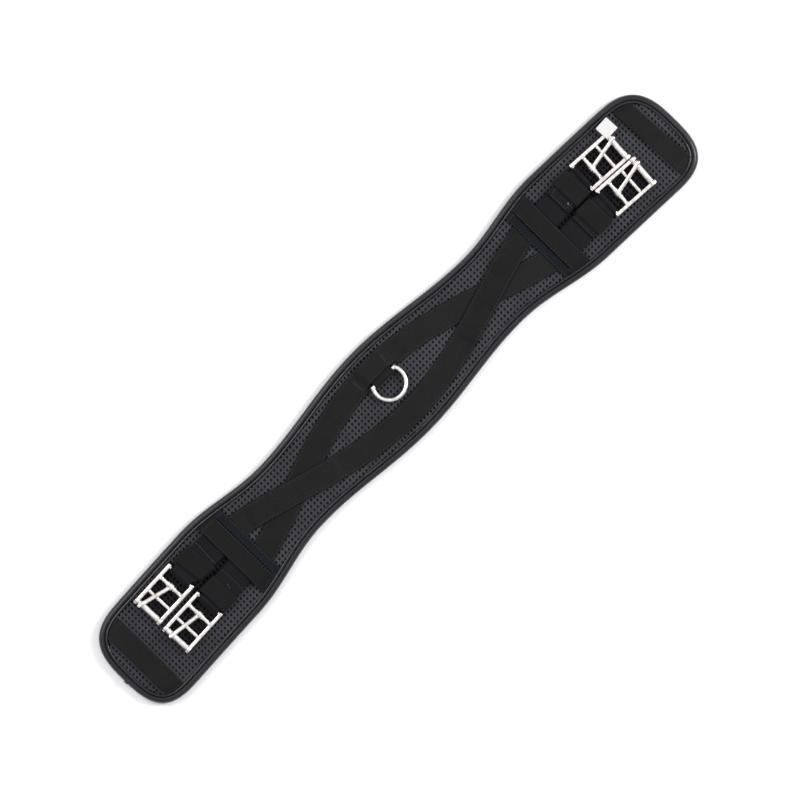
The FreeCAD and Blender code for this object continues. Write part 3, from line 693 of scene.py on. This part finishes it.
def make_strip(name, path, across, left, right, thick, material, closed=False, rows=9):
    """left and right: how far the strip reaches each side of the path, in mm, per station."""
    path, across = np.asarray(path, float), np.asarray(across, float)
    count = len(path)
    left, right = np.broadcast_to(left, count), np.broadcast_to(right, count)
    if closed:
        ahead = np.roll(path, -1, 0) - np.roll(path, 1, 0)
    else:
        ahead = np.gradient(path, axis=0)
    up = np.cross(ahead, across)
    up /= np.linalg.norm(up, axis=1)[:, None]
    section = strip_section(rows)
    m = len(section)
    points, sides = [], []
    for k in range(count):
        width = left[k] + right[k]
        for a, h in section:
            round_off = thick * 0.35 if abs(a) > 0.499 and abs(h) > 0.49 else 0.0
            bulge = thick * 0.12 if abs(a) > 0.499 and abs(h) < 0.49 else 0.0
            side = -right[k] + (a + 0.5) * width - math.copysign(round_off - bulge, a)
            points.append(path[k] + across[k] * side + up[k] * thick * h)
        sides.append([(-right[k] + (a + 0.5) * width, h) for a, h in section])
    run = np.concatenate([[0], np.cumsum(np.linalg.norm(np.diff(path, axis=0), axis=1))])
    if closed:
        run = np.append(run, run[-1] + np.linalg.norm(path[0] - path[-1]))
    faces, uv = between_rings(count, m, closed), []
    for k in range(count if closed else count - 1):
        n = (k + 1) % count
        for j in range(m):
            i = (j + 1) % m
            uv += [(run[k] * MM, sides[k][j][0] * MM), (run[k] * MM, sides[k][i][0] * MM),
                   (run[k + 1] * MM, sides[n][i][0] * MM), (run[k + 1] * MM, sides[n][j][0] * MM)]
    ends = [(j, j + 1, 2 * rows - j, 2 * rows - j + 1) for j in range(rows - 1)]
    ends += [(rows - 1, rows, rows + 1, rows + 2), (2 * rows + 1, 2 * rows + 2, 2 * rows + 3, 0)]
    for k in () if closed else (0, count - 1):
        for end in ends:
            faces.append(tuple(k * m + q for q in end))
            uv += [(run[k] * MM, sides[k][q][0] * MM) for q in end]
    piece = make_piece(name, points, faces, material, uv)
    return piece, {"path": path, "across": across, "up": up, "thick": thick}


def line_on(strip, offset, start=0, stop=None):
    """A line along a strip's upper face, offset from its middle, as points in mm."""
    s = slice(start, stop)
    return strip["path"][s] + strip["across"][s] * offset + strip["up"][s] * (strip["thick"] / 2)


def station_near(strip, x):
    return int(np.argmin(np.abs(strip["path"][:, 0] - x)))


def turned(points, degrees):
    c, s = math.cos(math.radians(degrees)), math.sin(math.radians(degrees))
    p = np.asarray(points, float)
    return np.stack([p[:, 0] * c - p[:, 1] * s, p[:, 0] * s + p[:, 1] * c, p[:, 2]], axis=1)


def ease(t):
    t = min(1.0, max(0.0, t))
    return t * t * (3 - 2 * t)


def humps(x, rises, ramp):
    """How far a strip stands up at x: each (from, to, height) has an eased ramp at both sides."""
    up = 0.0
    for start, stop, height in rises:
        up = max(up, height * min(ease((x - start + ramp) / ramp), ease((stop + ramp - x) / ramp)))
    return up


# %% [markdown]
# ## The crossed webbings
# Two webbings run the length of the girth. Each is sewn out to one side in the middle and
# to the other side at both ends, so they cross twice. The one that lies on top climbs its
# partner at each crossing. The other climbs the D-ring's tab, and is pulled back there.

# %% Lay the two webbings
WEB_WIDTH, WEB_THICK, SWING, CROSS_AT, WEB_RAMP, WEB_REACH = 26.0, 1.6, 28.3, 139.3, 8.0, 220.8
CLIMB = (94.7, 183.8)
RING_X, TAB_WIDTH, TAB_HEIGHT = 4.7, 25.4, 2.4
PULLED = (RING_X - 18.2, RING_X + 18.2, 4.3)


def web_stations(side, rises, pulled=None):
    path, across, near = [], [], []
    for x in np.linspace(-WEB_REACH, WEB_REACH, 260):
        swing = math.pi / (2 * CROSS_AT)
        y = side * SWING * math.cos(swing * x) + bow_at(x)
        slope = -side * SWING * swing * math.sin(swing * x) - 2 * BOW * x / HALF_LENGTH ** 2
        z = MESH_TOP + humps(x, rises, WEB_RAMP) + WEB_THICK / 2
        path.append((x, y, z))
        across.append(np.array([-slope, 1, 0]) / math.hypot(slope, 1))
        near.append(WEB_WIDTH / 2 - (humps(x, [pulled], 3.5) if pulled else 0.0))
    return path, across, near


over_path, over_across, _ = web_stations(-1, [(-CLIMB[1], -CLIMB[0], WEB_THICK),
        (CLIMB[0], CLIMB[1], WEB_THICK)])
web_over, over_strip = make_strip("webbing_over", over_path, over_across, WEB_WIDTH / 2, WEB_WIDTH / 2,
        WEB_THICK, nylon_webbing, rows=11)
tab_span = (RING_X - TAB_WIDTH / 2, RING_X + TAB_WIDTH / 2, TAB_HEIGHT)
under_path, under_across, under_near = web_stations(1, [tab_span], PULLED)
web_under, under_strip = make_strip("webbing_under", under_path, under_across, WEB_WIDTH / 2, under_near,
        WEB_THICK, nylon_webbing, rows=11)
for piece, node in ((web_over, "crossing_web_over"), (web_under, "crossing_web_under")):
    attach(piece, "pad")
    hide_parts(node)
    print(piece.name, triangles(piece), "triangles")

# %% [markdown]
# ## The strips sewn across the pad
# A ribbed band at each end holds the elastics down, a flat tape beside it covers the ends of
# the webbings, and a webbing keeper near each tip takes the ends of the girth straps. Each
# is sewn down at both its ends and stands clear between them, so each one rises from a
# flat foot. Seen from the side they are low bridges.

# %% Bands, tapes and end keepers
BAR_Z = (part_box("buckle_frame_left_upper")[0].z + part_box("buckle_frame_left_upper")[1].z) / 2 / MM
BAND_OUT, BAND_IN, TAPE_IN = 233.2, 212.8, 203.3
# inner edge, outer edge and turn from square, for the keeper at each end
END_KEEPERS = {"left": (352.8, 374.3, 0.0), "right": (355.6, 375.4, 3.0)}
SEAM = EDGE_LINE[0] + EDGE_LINE[1] * MESH_INSET
HALF = len(SEAM) // 2


def seam_at(x, side):
    """Where the piping's inner line is across the pad at x: side 1 is the upper one, -1 the lower."""
    line = SEAM[:HALF][::-1] if side > 0 else SEAM[HALF:]
    return np.interp(x, line[:, 0], line[:, 1])


def bridge(name, end, inner, outer, rise, thick, material, low=None, high=None, sag=0.0, turn=0.0):
    """A strip across the pad. It stands rise above the mesh between low and high."""
    middle = end * (inner + outer) / 2
    reach = min(half_width(inner), half_width(outer)) - MESH_INSET - abs(bow_at(outer) - bow_at(inner)) / 2
    y0, y1 = bow_at(middle) - reach, bow_at(middle) + reach
    low = y0 + 1 + rise + thick if low is None else low
    high = y1 - 1 - rise - thick if high is None else high
    path = []
    for y in np.linspace(y0, y1, 90):
        up = rise * min(ease((y - y0 - 1) / (low - y0 - 1)), ease((y1 - 1 - y) / (y1 - 1 - high)))
        dip = sag * math.sin(math.pi * min(1, max(0, (y - low) / (high - low)))) ** 2 if sag else 0.0
        path.append((middle, y, MESH_TOP + up - dip + thick / 2))
    half, hub = (outer - inner) / 2, np.array([middle, (y0 + y1) / 2, 0])
    path = turned(np.array(path) - hub, turn) + hub
    across = turned([(-1.0, 0, 0)] * len(path), turn)
    piece, strip = make_strip(name, path, across, half, half, thick, material, rows=13)
    for v in piece.data.vertices:
        x, y = v.co.x / MM, v.co.y / MM
        side = 1 if y > hub[1] else -1
        share = max(0.0, (abs(y - hub[1]) / reach - 0.82) / 0.18)
        v.co.y += share * (seam_at(x, side) - (hub[1] + side * reach)) * MM
    piece.data.update()
    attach(piece, "pad")
    return piece, strip


sewn_strips = {}
# strap edges under each band: lowest and highest point across the pad
STRAP_SPAN = {"left": (-34.9, 34.9), "right": (-39.1, 29.2)}
for end, side in ((-1, "left"), (1, "right")):
    low, high = STRAP_SPAN[side]
    band, sewn_strips["band_" + side] = bridge("anchor_band_" + side + "_cloth", end, BAND_IN, BAND_OUT,
            BAR_Z + 0.35 - MESH_TOP, 1.2, ribbed_band, low, high)
    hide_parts("anchor_band_" + side)
    tape, sewn_strips["tape_" + side] = bridge("band_tape_" + side + "_cloth", end, TAPE_IN, BAND_IN - 0.05,
            1.6, 0.8, flat_tape)
    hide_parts("band_tape_" + side)
    near_edge, far_edge, turn = END_KEEPERS[side]
    keeper, sewn_strips["end_" + side] = bridge("end_keeper_" + side + "_cloth", end, near_edge, far_edge,
            3.0, 1.4, nylon_webbing, sag=0.5, turn=turn)
    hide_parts("end_keeper_" + side)
print(len(sewn_strips), "strips across the pad")

# %% [markdown]
# ## The elastic straps
# Each elastic comes out from under its band, goes round the buckle's inner bar and is sewn
# back on itself. It is one strip on one path: along the pad, round the bar, and back on
# top. Its last few millimetres are gathered in to fit between the buckle's rails.

# %% Where each strap lies
STRAPS = {
    "left_upper": dict(bar=(-279.4, 20.725), band=(-233.2, 18.675), buckle=181.6, keeper=8.9, lean=-8.6),
    "left_lower": dict(bar=(-279.4, -18.925), band=(-233.2, -17.875), buckle=181.9, keeper=4.0, lean=0.0),
    "right_upper": dict(bar=(286.4, 13.575), band=(233.2, 12.8), buckle=-3.7, keeper=5.0, lean=0.0),
    "right_lower": dict(bar=(286.4, -22.375), band=(233.2, -22.6), buckle=-4.1, keeper=9.4, lean=0.0),
}
PLY, STRAP_WIDTH, NECK_WIDTH, LAP, HIDDEN, FOLD, LOOP = 1.5, 30.5, 25.5, 36.0, 18.9, 2.33, 4.0


def run_of(s):
    (bx, by), (ax, ay) = s["bar"], s["band"]
    return math.degrees(math.atan2(by - ay, bx - ax)), math.hypot(bx - ax, by - ay)


def on_strap(s, points):
    """Points drawn from a strap's bar, x along the strap, put where that strap lies."""
    return turned(points, run_of(s)[0]) + np.array([*s["bar"], BAR_Z])


def strap_width_at(x):
    return NECK_WIDTH + (STRAP_WIDTH - NECK_WIDTH) * ease((-x - 4.0) / 4.6)


def elastic(name, s):
    """One strip: along the pad to the bar, round it, and back on top of itself."""
    run, to_band = run_of(s)
    turn = (s["buckle"] - run + 180) % 360 - 180
    low = [(x, -PLY / 2) for x in np.linspace(-(to_band + HIDDEN), -LOOP, 46)]
    low += [(x, -PLY / 2 - (FOLD - PLY / 2) * ease((x + LOOP) / (LOOP - 0.5)))
            for x in np.linspace(-LOOP + 0.4, -0.6, 8)]
    arc = [(FOLD * math.sin(a), -FOLD * math.cos(a)) for a in np.linspace(0, math.pi, 13)]
    top = [(x, -z) for x, z in reversed(low) if x > -LOOP - 0.1]
    top += [(x, PLY / 2) for x in np.linspace(-LOOP - 0.8, -LAP, 24)]
    path, across, half = [], [], []
    for x, z in low + arc + top:
        swing = math.radians(turn) * (1 - ease(-x / 8.0)) if x < 0 else math.radians(turn)
        path.append((x * math.cos(swing), x * math.sin(swing), z))
        across.append((-math.sin(swing), math.cos(swing), 0))
        half.append(strap_width_at(x) / 2)
    path, across = on_strap(s, path), turned(across, run)
    piece, _ = make_strip("elastic_" + name, path, across, half, half, PLY * 0.985, braided_elastic,
            rows=11)
    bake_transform(piece)
    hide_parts("elastic_strap_" + name)
    print(piece.name, triangles(piece), "triangles")


for name, s in STRAPS.items():
    elastic(name, s)

# %% [markdown]
# ## Where the buckles lie on the mesh
# The mesh inside the buckles and between the straps is nearly black: it is in their shade.
# It could be a patch sewn on, but no edge of one shows. So the shade is painted: each point
# of the mesh keeps a number that says how deep in shade it is, and its finish darkens it.

# %% Mark the mesh's painted shade
BUCKLE_REACH, BUCKLE_HALF = 46.6, 15.5


def between(values, low, high, soft=1.2):
    """1 inside a span and 0 outside it, with soft ends, for many values at once."""
    return np.clip(np.minimum(values - low, high - values) / soft + 0.5, 0, 1)


# Painted shade: this number darkens the mesh under each buckle and between each pair of straps.
spots = points_of(mesh_top.data)[:, :2] / MM
shaded = np.zeros(len(spots))
for s in STRAPS.values():
    heading = math.radians(s["buckle"])
    off = spots - np.array(s["bar"])
    along = off @ np.array([math.cos(heading), math.sin(heading)])
    aside = off @ np.array([-math.sin(heading), math.cos(heading)])
    inside = between(along, -6.0, BUCKLE_REACH) * between(aside, -BUCKLE_HALF, BUCKLE_HALF)
    shaded = np.maximum(shaded, inside)
for side, end in (("left", -1), ("right", 1)):
    pair = [STRAPS[side + row] for row in ("_upper", "_lower")]
    (upper_bar, upper_band), (lower_bar, lower_band) = [(s["bar"], s["band"]) for s in pair]
    share = (end * spots[:, 0] - BAND_OUT) / (abs(upper_bar[0]) - BAND_OUT)
    top = upper_band[1] + share * (upper_bar[1] - upper_band[1])
    bottom = lower_band[1] + share * (lower_bar[1] - lower_band[1])
    shaded = np.maximum(shaded, between(share, -0.1, 1.1, 0.1) * between(spots[:, 1], bottom, top))
mesh_top.data.attributes.new("shaded", "FLOAT", "POINT").data.foreach_set("value", shaded)
print(round(100 * float(shaded.mean())), "% of the mesh's points are rubbed")

# %% [markdown]
# ## The strap keepers
# A flat elastic loop goes round each strap and holds the end of the girth strap. It is a
# strip on a closed path: a flat ring with rounded corners, sagging a little in the middle
# of its span, as wide as the loop is long. One of the four sits askew.

# %% The four loops
KEEPER_HALF, KEEPER_HEIGHT, KEEPER_WALL, KEEPER_LENGTH, CORNER = 17.15, 2.9, 1.0, 20.5, 1.9


def loop_keeper(name, s):
    run, _ = run_of(s)
    y_half, z_half = KEEPER_HALF - KEEPER_WALL / 2, KEEPER_HEIGHT - KEEPER_WALL / 2
    ring = []
    for cy, cz, first in ((1, 1, 0), (-1, 1, 90), (-1, -1, 180), (1, -1, 270)):
        for a in np.radians(np.linspace(first, first + 90, 6)):
            ring.append((cy * (y_half - CORNER) + CORNER * math.cos(a),
                    cz * (z_half - CORNER) + CORNER * math.sin(a)))
        if first in (0, 180):
            ring += [(cy * y, cz * (z_half - 0.1 * math.cos(math.pi * y / 2 / (y_half - CORNER)) ** 2))
                    for y in np.linspace(y_half - CORNER, -y_half + CORNER, 18)[1:-1]]
    middle = -(s["keeper"] + KEEPER_LENGTH / 2)
    slant = math.tan(math.radians(s["lean"]))
    path = on_strap(s, [(middle + slant * y, y, z) for y, z in ring])
    across = turned([(-1.0, 0, 0)] * len(ring), run)
    piece, _ = make_strip("keeper_" + name, path, across, KEEPER_LENGTH / 2, KEEPER_LENGTH / 2, KEEPER_WALL,
            knitted_elastic, closed=True, rows=9)
    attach(piece, "keeper_" + name)
    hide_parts("strap_keeper_" + name)
    return piece


for name, s in STRAPS.items():
    made = loop_keeper(name, s)
print("loops of", triangles(made), "triangles")

# %% [markdown]
# ## The D-ring's tab
# A short webbing is folded round the straight bar of the ring, and its two plies go in
# under the upper webbing. One strip, one path, as the elastics.

# %% The tab
RING_Y, RING_Z, TAB_PLY, TAB_TAIL, TAB_LIFT = 14.9, 14.35, 1.2, 21.0, 5.2
loop = 2.28 + TAB_PLY / 2
tab_path = []
z0, z1 = MESH_TOP + TAB_PLY / 2 - RING_Z, MESH_TOP + 1.5 * TAB_PLY - RING_Z
for y in np.linspace(TAB_TAIL, TAB_LIFT, 12):
    tab_path.append((0, y, z0))
for t in np.linspace(0.12, 1, 7):
    tab_path.append((0, TAB_LIFT * (1 - t), z0 + (-loop - z0) * ease(t)))
for a in np.linspace(0.25, math.pi - 0.25, 11):
    tab_path.append((0, -loop * math.sin(a), -loop * math.cos(a)))
for t in np.linspace(0, 1, 9):
    tab_path.append((0, 0.2 + 6.6 * t, loop + (z1 - loop) * ease(t)))
for y in np.linspace(8.0, TAB_TAIL, 10):
    tab_path.append((0, y, z1))
tab_path = np.array(tab_path) + np.array([RING_X, RING_Y, RING_Z])
d_tab, _ = make_strip("d_ring_tab_cloth", tab_path, [(1.0, 0, 0)] * len(tab_path), TAB_WIDTH / 2,
        TAB_WIDTH / 2, TAB_PLY * 0.985, nylon_webbing, rows=11)
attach(d_tab, "pad")
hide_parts("d_ring_tab")
print("tab", triangles(d_tab), "triangles")

# %% [markdown]
# ## The lap in the binding, and the tag
# Where the edge's cloth meets itself, at one tip, its end lies over its start as a narrow
# flap. It follows the roll, a little proud of it. The tag is a plain square of card that
# hangs over a buckle's corner, with rounded corners and a slight curl.

# %% The lap
LAP_Y, LAP_HALF = -13.6, 2.3
start = int(np.argmin(np.hypot(edge[:, 0] + HALF_LENGTH, edge[:, 1] - LAP_Y)))
lap_path = []
for inset, z in ROLL[1:11]:
    spot = edge[start] + inward[start] * (inset - 0.75)
    lap_path.append((spot[0], spot[1], z + 0.45 * max(0, (z - 5) / 4)))
lap_across = np.array([-inward[start][1], inward[start][0], 0.0])
lap, _ = make_strip("binding_lap_cloth", lap_path, [lap_across] * len(lap_path), LAP_HALF, LAP_HALF, 0.7,
        edge_neoprene, rows=5)
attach(lap, "pad")
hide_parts("binding_lap")

# %% The tag
tag_low, tag_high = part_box("size_tag")
tag_middle = (tag_low + tag_high) / 2 / MM
TAG, TAG_CORNER, TAG_TURN, TAG_THICK, GRID = 15.8, 0.5, 2.2, 0.4, 14
tag_points, tag_faces = [], []
for face_z in (TAG_THICK / 2, -TAG_THICK / 2):
    for i in range(GRID + 1):
        for j in range(GRID + 1):
            u, v = i / GRID - 0.5, j / GRID - 0.5
            x, y = u * TAG, v * TAG
            cut = max(0.0, abs(x) + abs(y) - (TAG - TAG_CORNER))
            x, y = x - math.copysign(cut / 2, x), y - math.copysign(cut / 2, y)
            curl = 0.9 * max(0.0, u + v - 0.2) ** 2 + 0.5 * max(0.0, v - 0.1) ** 2
            tag_points.append((x, y, face_z + curl))
side = (GRID + 1) ** 2
for base, order in ((0, 1), (side, -1)):
    for i in range(GRID):
        for j in range(GRID):
            a = base + i * (GRID + 1) + j
            tag_faces.append((a, a + GRID + 1, a + GRID + 2, a + 1)[::order])
rim = [i * (GRID + 1) for i in range(GRID)] + [GRID * (GRID + 1) + j for j in range(GRID)]
rim += [i * (GRID + 1) + GRID for i in range(GRID, 0, -1)] + list(range(GRID, 0, -1))
tag_faces += [(a, b, b + side, a + side) for a, b in zip(rim, rim[1:] + rim[:1])]
tag_points = turned(tag_points, TAG_TURN) + np.array([tag_middle.x, tag_middle.y, tag_middle.z])
tag = make_piece("tag_card", tag_points, tag_faces, tag_card)
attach(tag, "buckle_right_upper")
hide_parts("size_tag")
print("tag", triangles(tag), "triangles")


# %% [markdown]
# ## Stitches
# Every strip is held by rows of lockstitch. A dashed texture would be flat, so each stitch
# is a small bead of thread, half sunk in the cloth. Geometry Nodes put one at every step
# along a line and turn it to follow the line. The lines are read off the strips themselves.

# %% A tree that sews along a line
def stitch_tree():
    tree, given = named_tree("stitches_on_line", [("Pitch", "NodeSocketFloat"),
            ("Stitch length", "NodeSocketFloat"), ("Thread width", "NodeSocketFloat"),
            ("Thread", "NodeSocketMaterial")])
    line = add(tree, "GeometryNodeMeshToCurve", {"Mesh": given["Geometry"]})
    steps = add(tree, "GeometryNodeResampleCurve", {"Curve": line, "Length": given["Pitch"]}, mode="LENGTH")
    ball = add(tree, "GeometryNodeMeshUVSphere", {"Segments": 6, "Rings": 4, "Radius": 0.5})
    size = add(tree, "ShaderNodeCombineXYZ", {"X": given["Stitch length"], "Y": given["Thread width"],
            "Z": given["Thread width"]})
    bead = add(tree, "GeometryNodeTransform", {"Geometry": ball.outputs["Mesh"], "Scale": size})
    ahead = add(tree, "GeometryNodeInputTangent")
    facing = add(tree, "FunctionNodeAlignRotationToVector", {"Vector": ahead}, axis="X", pivot_axis="AUTO")
    sewn = add(tree, "GeometryNodeInstanceOnPoints",
            {"Points": steps, "Instance": bead, "Rotation": facing})
    real = add(tree, "GeometryNodeRealizeInstances", {"Geometry": sewn})
    round_off = add(tree, "GeometryNodeSetShadeSmooth", {"Geometry": real})
    done = add(tree, "GeometryNodeSetMaterial", {"Geometry": round_off, "Material": given["Thread"]})
    add(tree, "NodeGroupOutput", {"Geometry": done})
    return tree


sewing = stitch_tree()


def sew(name, lines, thread, pitch=3.4, length=2.5, width=0.62):
    """Stitches along each line, as one piece."""
    points, edges = [], []
    for line in lines:
        first = len(points)
        points += [tuple(p) for p in line]
        edges += [(first + k, first + k + 1) for k in range(len(line) - 1)]
    carrier_mesh = bpy.data.meshes.new(name)
    carrier_mesh.from_pydata((np.array(points) * MM).tolist(), edges, [])
    carrier = bpy.data.objects.new(name + "_line", carrier_mesh)
    bpy.context.scene.collection.objects.link(carrier)
    piece = grown(carrier, sewing, {"Pitch": pitch * MM, "Stitch length": length * MM,
            "Thread width": width * MM, "Thread": thread}, name)
    print(name, len(piece.data.polygons) // 24, "stitches")
    return piece


# %% Black rows along the webbings, bands and keepers
ROW_OFFSET, PULLED_OFFSET = 10.9, 6.6
ROW_INSET = {"band": 8.8, "tape": 3.4, "end_": 9.4}
rows = [line_on(over_strip, side * ROW_OFFSET) for side in (-1, 1)] + [line_on(under_strip, ROW_OFFSET)]
pulled_from, pulled_to = station_near(under_strip, PULLED[0] - 5), station_near(under_strip, PULLED[1] + 5)
rows += [line_on(under_strip, -ROW_OFFSET, 0, pulled_from),
        line_on(under_strip, -PULLED_OFFSET, pulled_from + 2, pulled_to - 2),
        line_on(under_strip, -ROW_OFFSET, pulled_to, None)]
for key, strip in sewn_strips.items():
    inset = ROW_INSET[key[:4]]
    if key.startswith("end_"):
        rows += [line_on(strip, side * inset, a, b) for side in (-1, 1) for a, b in ((0, 4), (86, None))]
    else:
        rows += [line_on(strip, side * inset) for side in (-1, 1)]
black_rows = sew("stitches_black", rows, black_thread)
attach(black_rows, "pad")


# %% Pale rows where the elastics are sewn back, one piece for each strap
# How high the thread lies above the middle of the strap's two plies
SUNK, PATCH_SIDE = PLY - 0.06, 10.6


def patch_lines(name, s):
    """The line across the end of the fold-back, and on one strap its two sides as well."""
    end = -LAP + 1.7
    line = [(end, y, SUNK) for y in np.linspace(-13.2, 13.2, 12)]
    if name == "right_upper":
        side = PATCH_SIDE
        line = [(x, -side, SUNK) for x in np.linspace(-26.2, end + 3, 6)]
        line += [(end + 3 - 3 * math.sin(a), -side + 3 - 3 * math.cos(a), SUNK)
                for a in np.radians([20, 45, 70, 90])]
        line += [(end, y, SUNK) for y in np.linspace(-side + 4.5, side - 4.5, 8)]
        line += [(end + 3 - 3 * math.cos(a), side - 3 + 3 * math.sin(a), SUNK)
                for a in np.radians([0, 20, 45, 70])]
        line += [(x, side, SUNK) for x in np.linspace(end + 3, -26.2, 6)]
    return on_strap(s, line)


def stretch_with(piece):
    """Moves the thread's placement into its points, as is done for the strap that it is sewn through."""
    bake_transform(piece)


for name, s in STRAPS.items():
    thread = pale_thread if "upper" in name else grey_thread
    stretch_with(sew("stitches_" + name, [patch_lines(name, s)], thread, 2.6, 1.8, 0.5))

# %% Thread ends left showing, in millimetres from each strap's bar
THREAD_ENDS = {"right_upper": (white_thread, [(-29.2, -8.6)]),
        "left_lower": (pale_thread, [(-26.6, 3.2), (-27.6, 0.2)])}
for name, (thread, ends) in THREAD_ENDS.items():
    snips = [on_strap(STRAPS[name], [(x, y, SUNK), (x + 0.8, y + 0.8, SUNK)]) for x, y in ends]
    stretch_with(sew("thread_ends_" + name, snips, thread, 1.5, 1.4, 0.55))

# %% Bar tacks that hold the D-ring's tab
TACKS_AT = (-19.7, 17.7)
tacks = []
for x in TACKS_AT:
    here = station_near(under_strip, x)
    p, a, u = (under_strip[k][here] for k in ("path", "across", "up"))
    zigzag = [p + a * y + u * 0.85 + np.array([0.7 * (-1) ** k, 0, 0]) for k,
            y in enumerate(np.linspace(-7.2, 5.6, 17))]
    tacks.append(zigzag)
bar_tacks = sew("bar_tacks", tacks, grey_thread, 1.5, 1.4, 0.45)
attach(bar_tacks, "pad")

# %% [markdown]
# ## The metal
# Frames, rollers, tongues and the ring are right as the frame has them. They only take the
# plated finish.

# %% Finish the metal
metal = 0
for name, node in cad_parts.items():
    if node.hide_render:
        continue
    node.data.materials.clear()
    node.data.materials.append(bright_steel)
    metal += 1
print(metal, "metal pieces finished")
